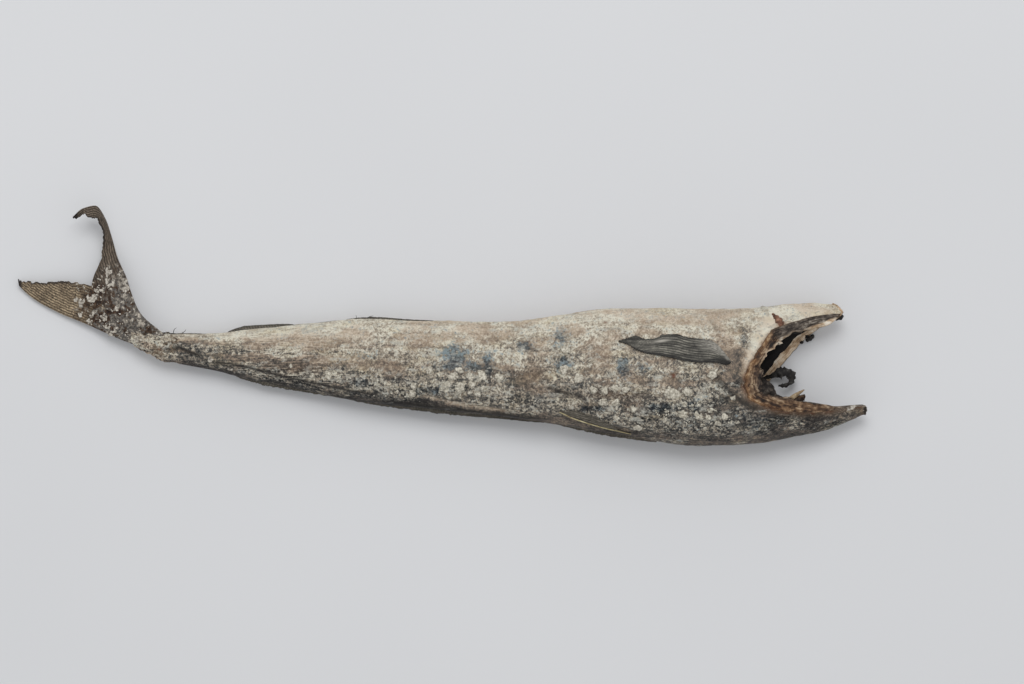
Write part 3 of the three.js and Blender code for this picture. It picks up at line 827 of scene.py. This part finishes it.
tailFin = {
    "upperLobe": [
        ((10, 6, 15), (8, -3, 15), 4), ((-16, 29, 17), (-32, 20, 15), 7), ((-28, 60, 14),
        (-57, 51, 10), 2.6),
        ((-35, 75, 11), (-50, 73, 12), 1.6), ((-40, 91, 9), (-47, 92, 18), 1.4),
        ((-45.5, 108, 13), (-49.5, 103, 22), 1.4), ((-53.5, 119, 20), (-56, 108, 24), 1.3),
        ((-64, 116, 25), (-65, 109.5, 22), 1.2), ((-72.5, 108.5, 24), (-71, 106.5, 22), 1),
    ],
    "lowerLobe": [
        ((8, -8, 15), (10, 4, 15), 4), ((-28, 3.5, 13), (-26, 32, 15), 7), ((-62, 18.5, 7),
        (-57, 51, 10), 2.6),
        ((-84, 27.5, 5), (-80, 55.5, 8), 1.6), ((-104, 38, 4), (-99, 54.5, 7), 1.4), ((-114, 45.5, 4),
        (-112, 55.5, 6), 1.3),
        ((-120, 51.5, 5), (-121, 57.5, 6), 1.2),
    ],
    "along": 220, "around": 170, "raySpacing": 2.2, "ragged": 2.2,
}


def makeLobe(name, ribs, seed, rayStart, material):
    outerLine = curveThrough([r[0] for r in ribs])
    innerLine = curveThrough([r[1] for r in ribs])
    thickLine = evenLine([r[2] for r in ribs])
    along = tailFin["along"]
    around = tailFin["around"]
    bm = bmesh.new()
    layers = addMarks(bm, finMarks)
    for vert, i, j in addSheet(bm, along, around):
        share = i / along
        outer = outerLine(share)
        inner = innerLine(share)
        width = (inner - outer).length
        tear = ease(0.3, 0.45, share) * tailFin["ragged"]
        tear *= 0.4 + 1.1 * wave(share * 24, seed, 0.3) + 0.6 * wave(share * 70, seed, 1.9)
        inner = inner + (outer - inner) * min(0.6, max(0.0, tear / max(width, 1.0)))
        ahead = outerLine(min(1, share + 0.01)) + innerLine(min(1, share + 0.01))
        behind = outerLine(max(0, share - 0.01)) + innerLine(max(0, share - 0.01))
        face = (inner - outer).cross(ahead - behind).normalized()
        angle = j / around * 2 * math.pi
        w = (1 - math.cos(angle)) / 2
        swell = bladeSide(angle, 0.5)
        spot = outer.lerp(inner, w)
        x, y, z = spot
        rayed = ease(rayStart - 0.08, rayStart + 0.08, share + 0.10 * cloud(x, y, 0, 13))
        ridge = 0.5 + 0.5 * math.cos(2 * math.pi * w * width / tailFin["raySpacing"])
        rooted = 1 - rayed
        thick = thickLine(share) / 2 + 0.28 * ridge * rayed + 0.5 * rooted * cloud(x, y, 0, 5)
        spot = spot + face * thick * swell
        spot.z += 0.6 * wave(x * 0.08, y * 0.08, seed)
        spot.z = max(spot.z, 0.4)
        vert[layers["ray"]] = ridge
        vert[layers["root"]] = rooted * ease(0.0, 0.25, rooted + 0.6 * cloud(x, y, 9, 7))
        vert[layers["grey"]] = ease(-62, -22, x)
        darkEdge = 0.9 * ease(0.84, 0.98, w) * ease(0.36, 0.5, share)
        vert[layers["tip"]] = max(ease(0.89, 0.96, share), darkEdge)
        if i in (0, along):
            spot = outerLine(share).lerp(innerLine(share), 0.5)
        vert.co = place(*spot)
    tree = BVHTree.FromBMesh(bm)
    finishPiece(bm, name, [material])
    return tree


lobeTrees = [
    makeLobe("tailUpperLobe", tailFin["upperLobe"], 11.3, 0.27, hookSkin),
    makeLobe("tailLowerLobe", tailFin["lowerLobe"], 4.9, 0.36, tailSkin),
]

# fins pressed to the flank: place along, upper edge and lower edge

flatFins = {
    "nearPectoral": {
        "ribs": [
            (391.5, 2.9, 2.1), (399.5, 5.1, -0.4), (406.3, 7.2, -4.8), (414.8, 4.2, -7.9),
            (423.3, 5.2, -9.4),
            (429.3, 8.1, -10.5), (439.5, 8.5, -12.6), (450.5, 5.7, -15.0), (461.6, 4.4, -15.8),
            (469, 3.2, -15.8),
            (474, 0.6, -15.9), (479, -4.5, -17.0), (483, -9.8, -17.8), (486.5, -14.5, -16.2),
        ],
        "side": 1, "rays": 10, "lift": 0.5, "curl": 0.9, "thick": 1.2, "material": slateFin,
    },
    "farPectoral": {
        "ribs": [
            (398, 15.3, 14.7), (412, 20, 12), (425, 21, 11), (446, 22, 10), (465, 20, 10), (487, 14.5, 9.5),
        ],
        "side": -1, "rays": 7, "lift": 0.5, "curl": 0.6, "thick": 1.2, "material": slateFin,
    },
    "foldedDorsal": {
        "ribs": [
            (341.5, -56.4, -57.2), (352, -56.1, -61.6), (364.6, -59, -65.9), (376.5, -63.7, -69.4),
            (385, -67.8, -71.5),
            (391.4, -71.6, -72.9), (402, -75.0, -75.6),
        ],
        "side": 1, "rays": 4, "lift": 0.5, "curl": 0.9, "thick": 1.0, "material": duskFin,
    },
}


def makeFlatFin(name, fin):
    upper = smoothLine([(r[0], r[1]) for r in fin["ribs"]])
    lower = smoothLine([(r[0], r[2]) for r in fin["ribs"]])
    start = fin["ribs"][0][0]
    end = fin["ribs"][-1][0]
    side = fin["side"]
    along = 170
    around = 96
    bm = bmesh.new()
    layers = addMarks(bm, finMarks)
    for vert, i, j in addSheet(bm, along, around):
        share = i / along
        x = mix(start, end, share)
        angle = j / around * 2 * math.pi
        w = math.cos(angle)
        swell = bladeSide(angle, 0.5)
        if i in (0, along):
            w = 0.0
            swell = 0.0
        y = mix(lower(x), upper(x), (w + 1) / 2)
        torn = 0.5 * wave(x * 0.4, w, side) + 0.9 * wave(x * 0.9, w, 7) * ease(0.5, 0.2, share)
        y += torn * ease(0.5, 0.9, abs(w))
        bare = trunkRow(x)
        across = (y - (bare[0] + bare[1]) / 2) / ((bare[0] - bare[1]) / 2)
        z = max(bare[3] + bare[2] * 0.43 + side * flankHeight(bare[2], max(-1, min(1, across))), bare[3])
        found = skinAt(x, y, side)
        found = z if found is None else found
        base = max(mix(found, z, 0.35), found + 0.2) if side > 0 else min(mix(found, z, 0.35), found)
        ridge = 0.5 + 0.5 * math.cos(2 * math.pi * (w + 0.25 * share) * fin["rays"] / 2)
        curled = fin["curl"] * ease(0.1, -1.0, w) * ease(0.0, 0.3, share) * (1 - ease(0.85, 1.0, share))
        lift = fin["lift"] + curled
        if swell >= 0:
            lift += (fin["thick"] / 2 + 0.25 * ridge) * swell
        else:  # the underside reaches into the skin, so that no gap shows below the fin
            lift = mix(lift, side * (found - base) - 0.6, -swell)
        vert[layers["ray"]] = ridge * (0.7 + 0.9 * wave(x * 0.05, y * 0.6, 2.2))
        # painted shadow: the lower edge is darkened as the shadow under the lifted fin, and the root end as
        # shade where it meets the skin; the upper edge and the free tip have a darker rim of their own
        dark = max(0.9 * ease(0.6, 0.95, -w), 0.6 * ease(0.7, 1.0, w), 0.5 * ease(0.1, 0.0, share))
        vert[layers["tip"]] = max(dark, 0.9 * ease(0.87, 0.95, share - 0.05 * w))
        # a pale streak near the upper edge at x 428: partly a pale flake, partly a painted glint
        paintedGlint = math.exp(-((x - 428) / 6) ** 2 - ((y - 2.6 - 0.12 * (x - 428)) / 1.1) ** 2)
        scaly = ease(452, 474, x) * ease(-0.3, 0.6, w) * (0.45 + 0.5 * wave(x * 0.5, y * 0.8))
        vert[layers["crust"]] = max(paintedGlint, scaly) if side > 0 else 0.0
        vert.co = place(x, y, max(base + side * lift, 0.3))
    return finishPiece(bm, name, [fin["material"]])


for finName, fin in flatFins.items():
    makeFlatFin(finName, fin)

# dried fins along the edges: thin ragged blades folded against belly and back

edgeFins = {
    "analFin": {"edge": 0, "from": 59, "to": 116, "height": 4.6, "peak": 0.25, "ragged": 0.15},
    "hindAnalFin": {"edge": 0, "from": 160, "to": 236, "height": 1.5, "peak": 0.3, "ragged": 0.6},
    "tailDorsalFin": {"edge": 1, "from": 66, "to": 150, "height": 3.0, "peak": 0.3, "ragged": 1.0},
    "middleDorsalFin": {"edge": 1, "from": 160, "to": 330, "height": 3.2, "peak": 0.5, "ragged": 1.0},
    "frontDorsalFin": {"edge": 1, "from": 342, "to": 425, "height": 3.0, "peak": 0.5, "ragged": 1.0},
}


def makeEdgeFin(name, fin):
    along = 150
    around = 36
    outward = 1 if fin["edge"] == 0 else -1
    bm = bmesh.new()
    layers = addMarks(bm, finMarks)
    for vert, i, j in addSheet(bm, along, around):
        share = i / along
        x = mix(fin["from"], fin["to"], share)
        row = trunkRow(x)
        angle = j / around * 2 * math.pi
        w = (1 + math.cos(angle)) / 2
        rise = max(0.0, min(share / fin["peak"], (1 - share) / (1 - fin["peak"])))
        reach = fin["height"] * math.sqrt(rise)
        torn = 0.35 * wave(x * 0.25, outward) + 0.25 * wave(x * 0.9, outward, 3.3)
        reach *= 0.85 + fin["ragged"] * torn
        swell = 0.0 if i in (0, along) else bladeSide(angle, 0.6)
        depth = mix(-4.0, reach, w) if i not in (0, along) else -2.0
        ridge = 0.5 + 0.5 * math.cos(2 * math.pi * (x + 3 * w) / 2.4)
        z = row[3] + row[2] * 0.43 + outward * (mix(2.4, 0.5, w) + 0.2 * ridge) * swell
        z += (2.0 + 1.5 * w) * wave(x * 0.03, 0.4 * w, outward * 5)
        vert[layers["ray"]] = 0.6 * ridge
        vert[layers["tip"]] = 0.5 * ease(0.6, 1.0, w)
        vert.co = place(x, row[fin["edge"]] + outward * depth, z)
    return finishPiece(bm, name, [duskFin])


for finName, fin in edgeFins.items():
    makeEdgeFin(finName, fin)

# strips and splinters at the collar, and the horny edge of the folded fin: path, half widths and thickness

strips = {
    "gutCurl": {
        "path": [(514, -29, 5), (519.4, -27.2, 7), (525.3, -25, 10), (531, -23.2, 12), (536.5, -23.2, 13),
                 (540, -26.2, 13), (540.2, -30, 12.5), (537, -33, 12), (533, -34.3, 11.5),
                 (528.7, -34.4, 11)],
        "halves": [1.2, 1.6, 2.6, 4.2, 4.5, 3.7, 2.5, 1.9, 1.6, 0.5], "thick": 3.2, "ragged": 0.45,
        "material": driedGut,
    },
    "boneSplinter": {
        "path": [(530, -50, 22), (537, -46.5, 25), (543, -42.5, 27), (550, -38, 29)],
        "halves": [2.0, 2.1, 1.8, 0.4], "thick": 2.0, "ragged": 0.15, "material": boneTan,
    },
    "napeShred": {
        "path": [(534, -50, 23), (542, -47.5, 24), (548, -45, 25), (550.5, -42, 26)],
        "halves": [1.5, 3.2, 3.0, 0.4], "thick": 2.0, "ragged": 0.3, "material": cutFlesh,
    },
    "collarFlap": {
        "path": [(522.5, 26.5), (525.5, 23), (528, 19.5), (530, 16)],
        "halves": [0.6, 2.2, 3.2, 2.4], "thick": 1.8, "ragged": 0.4, "material": redScab, "onSkin": 0.2,
    },
    "dorsalHorn": {
        "path": [(341.5, -57.2), (352, -61.8), (364.6, -66.2), (380.8, -70.8), (391.4, -73.2), (403, -76)],
        "halves": [0.4, 0.7, 0.75, 0.7, 0.6, 0.3], "thick": 1.2, "ragged": 0.1, "material": hornEdge,
        "onSkin": 1.4,
    },
}


def addStrip(bm, strip, along=90, around=20):
    points = strip["path"]
    if "onSkin" in strip:
        points = [(x, y, (skinAt(x, y) or 10.0) + strip["onSkin"]) for x, y in points]
    path = curveThrough(points)
    halves = evenLine(strip["halves"])
    for vert, i, j in addSheet(bm, along, around):
        share = i / along
        spot = path(share)
        run = (path(min(1, share + 0.01)) - path(max(0, share - 0.01))).normalized()
        sideways = run.cross(Vector((0, 0, 1))).normalized()
        upward = sideways.cross(run)
        angle = j / around * 2 * math.pi
        half = halves(share)
        torn = 1.2 * wave(share * 14, math.copysign(3, math.cos(angle))) + wave(share * 37, 2.2)
        half *= 1 + strip["ragged"] * torn
        if i not in (0, along):
            spot = spot + sideways * math.cos(angle) * half
            lump = 1 + 0.5 * wave(spot.x * 0.5, spot.y * 0.5, spot.z * 0.5)
            spot = spot + upward * math.sin(angle) * strip["thick"] / 2 * lump * min(1.0, half)
        vert.co = place(*spot)


def makeStrip(name, strip):
    bm = bmesh.new()
    addStrip(bm, strip)
    return finishPiece(bm, name, [strip["material"]])


for stripName, strip in strips.items():
    makeStrip(stripName, strip)

# lumps of dried flesh: x, y, z and the half sizes of each

fleshLumps = {
    "fleshLobe": [
        (517, -37, 9, 8, 8, 5), (512, -41, 12, 7, 7, 5), (522, -42, 9, 6, 6, 4), (509, -33, 12, 5, 7, 5),
        (526, -45, 12, 6, 3.5, 4),
    ],
    "fleshCrumbs": [
        (553, 8.4, 4, 2.2, 1.8, 1.6), (556.5, 6.4, 4, 2.6, 2.0, 1.8), (558.5, 8.0, 4.2, 1.8, 1.8, 1.5),
        (554.5, 4.8, 3.6, 1.5, 1.3, 1.3), (549.5, 3.0, 3.4, 1.6, 1.2, 1.2),
    ],
    "throatScab": [
        (579.5, 25.5, 21, 2.6, 2.4, 2.6), (581.2, 23.8, 20.5, 2.6, 2.4, 2.4),
        (578, 22.8, 21, 2.0, 1.8, 2.0),
        (576.5, 22.8, 22, 1.6, 1.4, 1.6), (573.5, 21.8, 22, 1.5, 1.2, 1.5),
    ],
}


def makeLumps(name, lumps, material, rough):
    bm = bmesh.new()
    for x, y, z, *halves in lumps:
        ball = bmesh.ops.create_icosphere(bm, subdivisions=3, radius=1.0)["verts"]
        for vert in ball:
            out = vert.co.copy()
            bulge = 1 + rough * cloud(out.x + x, out.y + y, out.z + z, 1.1)
            out = [o * half * bulge for o, half in zip(out, halves)]
            vert.co = place(x + out[0], y + out[1], max(0.3, z + out[2]))
    return finishPiece(bm, name, [material])


for lumpName, lumps in fleshLumps.items():
    makeLumps(lumpName, lumps, driedFlesh if lumpName == "fleshLobe" else driedGut, 0.4)

# crust lumps and crumbs that stand on the skin, and scabs round the tail root

crumbs = {
    "crustLumps": {
        "count": 240, "size": (0.9, 1.9), "flat": 0.4, "rounds": 2, "least": 0.52, "material": crustLime},
    "crustCrumbs": {
        "count": 700, "size": (0.4, 0.9), "flat": 0.5, "rounds": 1, "least": 0.44, "material": crustLime},
    "rootScabs": {
        "count": 260, "size": (0.6, 1.5), "flat": 0.5, "rounds": 1, "least": 0.44, "material": scabSkin},
}
rootScabsFrom = -14
rootScabsTo = 22


def addCrumb(bm, co, normal, size, flat, rounds):
    turn = normal.to_track_quat("Z", "Y").to_matrix().to_4x4()
    turn = Matrix.Translation(co) @ turn @ Matrix.Rotation(random.uniform(0, 6.28), 4, "Z")
    sides = (size * random.uniform(0.8, 1.3), size * random.uniform(0.7, 1.1), size * flat)
    shape = Matrix.Diagonal((*sides, 1)) * 0.001
    shape[3][3] = 1.0
    seed = random.uniform(0, 99)
    for vert in bmesh.ops.create_icosphere(bm, subdivisions=rounds, radius=1.0)["verts"]:
        bulge = 1 + 0.75 * cloud(vert.co.x + seed, vert.co.y, vert.co.z, 0.9, 2)
        vert.co = turn @ (shape @ (vert.co * bulge))


def makeCrumbs(name, crumb):
    bm = bmesh.new()
    if name == "crustLumps":
        for x, y, radius in crustLumps:
            co, normal, face, far = skinTree.ray_cast(place(x, y, 150), Vector((0, 0, -1)))
            addCrumb(bm, co, normal, radius, 0.42, 3)
    left = place(rootScabsFrom, 0, 0).x
    right = place(rootScabsTo, 0, 0).x
    spots = [s for s in crustSpots if s[0].z > 0.006 and s[2] > crumb["least"]]
    if name == "rootScabs":
        spots = [s for s in spots if left < s[0].x < right]
    print(name, "may stand at", len(spots), "places")
    for co, normal, crust in random.sample(spots, min(crumb["count"], len(spots))):
        addCrumb(bm, co, normal, random.uniform(*crumb["size"]), crumb["flat"], crumb["rounds"])
    return finishPiece(bm, name, [crumb["material"]])


for crumbName, crumb in crumbs.items():
    makeCrumbs(crumbName, crumb)

# flakes of dried slime, thin angular chips: large ones by place, length, width and turn, small ones strewn

slimeFlakes = {
    "large": [
        (-57, 39, 10, 7.6, 10), (-67, 36.5, 7.6, 5.5, 70), (-71.5, 39, 5, 4, 60), (-52, 46, 6, 3.4, -60),
        (-48.5, 47, 6, 3, -20), (-44, 53.5, 10, 4.2, -75), (-42.5, 62.5, 6.5, 7, 0),
        (-38.5, 53.5, 6.5, 3.4, 70),
        (-33.5, 61, 5.5, 2.6, 75), (-28.5, 47, 7, 4, 0), (-29, 53, 4, 4.5, 0), (-40, 10, 5, 4, 0),
        (-29, 53.5, 8, 3.2, -60), (-26.5, 48.5, 6, 3, -65), (-35.5, 31.5, 8, 3.2, 50),
        (-56, 26.5, 6, 4.4, 60), (-59.5, 20.5, 6, 4.4, -20), (-46, 23, 7, 5, 80), (-44, 15.5, 6, 4.4, 0),
        (-36.5, 13, 5, 4.4, 0), (-18.5, 4.5, 5.5, 4.6, 20), (-67, 26.5, 6, 3.4, 70),
        (45.5, -13, 6, 3.4, -60),
        (61, -21, 5, 2.6, -15), (590, -54, 7, 5, 20),
    ],
    "small": {"count": 220, "from": (-72, 4), "to": (12, 70), "long": (1.2, 3.2)},
    "thick": 0.4, "corners": 7, "pieces": 5,
}


def topSurface(x, y):  # the highest point of trunk and tail over a place, and the way it faces
    hits = [tree.ray_cast(place(x, y, 150), Vector((0, 0, -1))) for tree in [skinTree, *lobeTrees]]
    hits = [hit for hit in hits if hit[0]]
    return max(hits, key=lambda hit: hit[0].z) if hits else None


def addFlake(bm, x, y, long, wide, degrees):
    found = topSurface(x, y)
    if not found:
        return
    facing = found[1] if found[1].z > 0 else -found[1]
    turn = facing.to_track_quat("Z", "X").to_matrix().to_4x4()
    heading = math.radians(degrees) - turn.to_euler().z
    turn = Matrix.Translation(found[0]) @ turn @ Matrix.Rotation(heading, 4, "Z")
    shape = Matrix.Diagonal((long * 0.0005, wide * 0.0005, slimeFlakes["thick"] * 0.001, 1))
    chip = bmesh.ops.create_cone(
        bm, segments=slimeFlakes["corners"], radius1=1.0, radius2=0.85, depth=1.0, cap_ends=True)["verts"]
    pulls = [random.uniform(0.45, 1.3) for corner in range(slimeFlakes["corners"])]
    for vert in chip:
        corner = round(math.atan2(vert.co.y, vert.co.x) / (2 * math.pi) * len(pulls)) % len(pulls)
        pulled = Vector((vert.co.x * pulls[corner], vert.co.y * pulls[corner], vert.co.z + 0.15))
        vert.co = turn @ (shape @ pulled)


def makeFlakes():
    bm = bmesh.new()
    for x, y, long, wide, degrees in slimeFlakes["large"]:  # each has broken into overlapping pieces
        addFlake(bm, x, y, long * 0.8, wide * 0.8, degrees)
        for k in range(slimeFlakes["pieces"]):
            aside = Matrix.Rotation(math.radians(degrees), 2) @ Vector(
                (random.uniform(-0.45, 0.45) * long, random.uniform(-0.45, 0.45) * wide))
            small = random.uniform(0.35, 0.7)
            addFlake(bm, x + aside.x, y + aside.y, long * small, wide * small, random.uniform(0, 180))
    small = slimeFlakes["small"]
    for k in range(small["count"]):
        x = mix(small["from"][0], small["to"][0], random.random())
        y = mix(small["from"][1], small["to"][1], random.random())
        long = random.uniform(*small["long"])
        addFlake(bm, x, y, long, long * random.uniform(0.3, 0.65), random.uniform(0, 180))
    return finishPiece(bm, "slimeFlakes", [saltCrust], smooth=False)


makeFlakes()

# loose fibres that stick out at the belly edge and the tail root

fibres = {
    "paths": [
        [(168.6, 21, 17), (169.2, 23.5, 18), (168.8, 25.8, 18)],
        [(178, 22.5, 17), (181, 24.6, 18), (184, 25.2, 18)],
        [(13, 10.5, 16), (14, 13.5, 17), (16, 15, 18)],
        [(20, 10, 16), (23, 12, 17), (24, 13.5, 17)],
    ],
    "halves": [0.3, 0.22, 0.1], "thick": 0.5, "ragged": 0.2,
}


def makeFibres():
    bm = bmesh.new()
    for path in fibres["paths"]:
        addStrip(bm, {**fibres, "path": path}, 16, 8)
    return finishPiece(bm, "looseFibres", [slateFin])


makeFibres()

# floor, light and camera

# "pixel" is how many millimetres of the fish one of the 1024 pixels across shows
stage = {
    "floor": 6.0, "pixel": 0.85, "centre": (301.75, 2.55), "height": 25, "away": 3.5, "elevation": 88.0,
    "lampSpot": (0.04, 1.5, 2.9), "lampTarget": (0.02, 0, 0), "lampSize": 1.8, "watts": 38.5,
    "roomColour": (0.985, 0.99, 1.0, 1.0), "roomLight": 0.597,
}


def makeFloor():
    material, tree, shader, coords, found = newMaterial("paleTable", 0.9)
    shade = addNode(tree, "TexNoise", {"Scale": 2.0, "Detail": 2.0}, {"Vector": coords})
    greys = [(0.3, "#dddee0"), (0.7, "#e0e1e3")]
    tone = addNode(tree, "ValToRGB", {"stops": greys}, {"Fac": shade.outputs["Fac"]})
    tree.links.new(tone.outputs["Color"], shader.inputs["Base Color"])
    bm = bmesh.new()
    bmesh.ops.create_grid(bm, x_segments=2, y_segments=2, size=stage["floor"] / 2)
    mesh = bpy.data.meshes.new("table")
    bm.to_mesh(mesh)
    bm.free()
    floor = bpy.data.objects.new("table", mesh)
    mesh.materials.append(material)
    bpy.context.scene.collection.objects.link(floor)


def makeLight(name, spot, target, size, watts):
    light = bpy.data.lights.new(name, "AREA")
    light.shape = "DISK"
    light.size = size
    light.energy = watts
    lamp = bpy.data.objects.new(name, light)
    lamp.location = spot
    lamp.rotation_euler = (Vector(target) - Vector(spot)).to_track_quat("-Z", "Y").to_euler()
    bpy.context.scene.collection.objects.link(lamp)


def makeCamera():
    camera = bpy.data.objects.new("camera", bpy.data.cameras.new("camera"))
    target = place(*stage["centre"], stage["height"])
    tilt = math.radians(stage["elevation"])
    camera.location = target + stage["away"] * Vector((0, -math.cos(tilt), math.sin(tilt)))
    camera.rotation_euler = (math.pi / 2 - tilt, 0, 0)
    camera.data.sensor_width = 36
    camera.data.lens = 36 * stage["away"] / (1024 * stage["pixel"] * 0.001)
    camera.data.clip_end = 50
    bpy.context.scene.collection.objects.link(camera)
    bpy.context.scene.camera = camera


makeFloor()
makeLight("softbox", stage["lampSpot"], stage["lampTarget"], stage["lampSize"], stage["watts"])
makeCamera()
world = bpy.data.worlds.new("room")
world.use_nodes = True
room = world.node_tree.nodes["Background"]
room.inputs["Color"].default_value = stage["roomColour"]
room.inputs["Strength"].default_value = stage["roomLight"]
bpy.context.scene.world = world
bpy.context.scene.view_settings.view_transform = "Standard"
print("stage set")
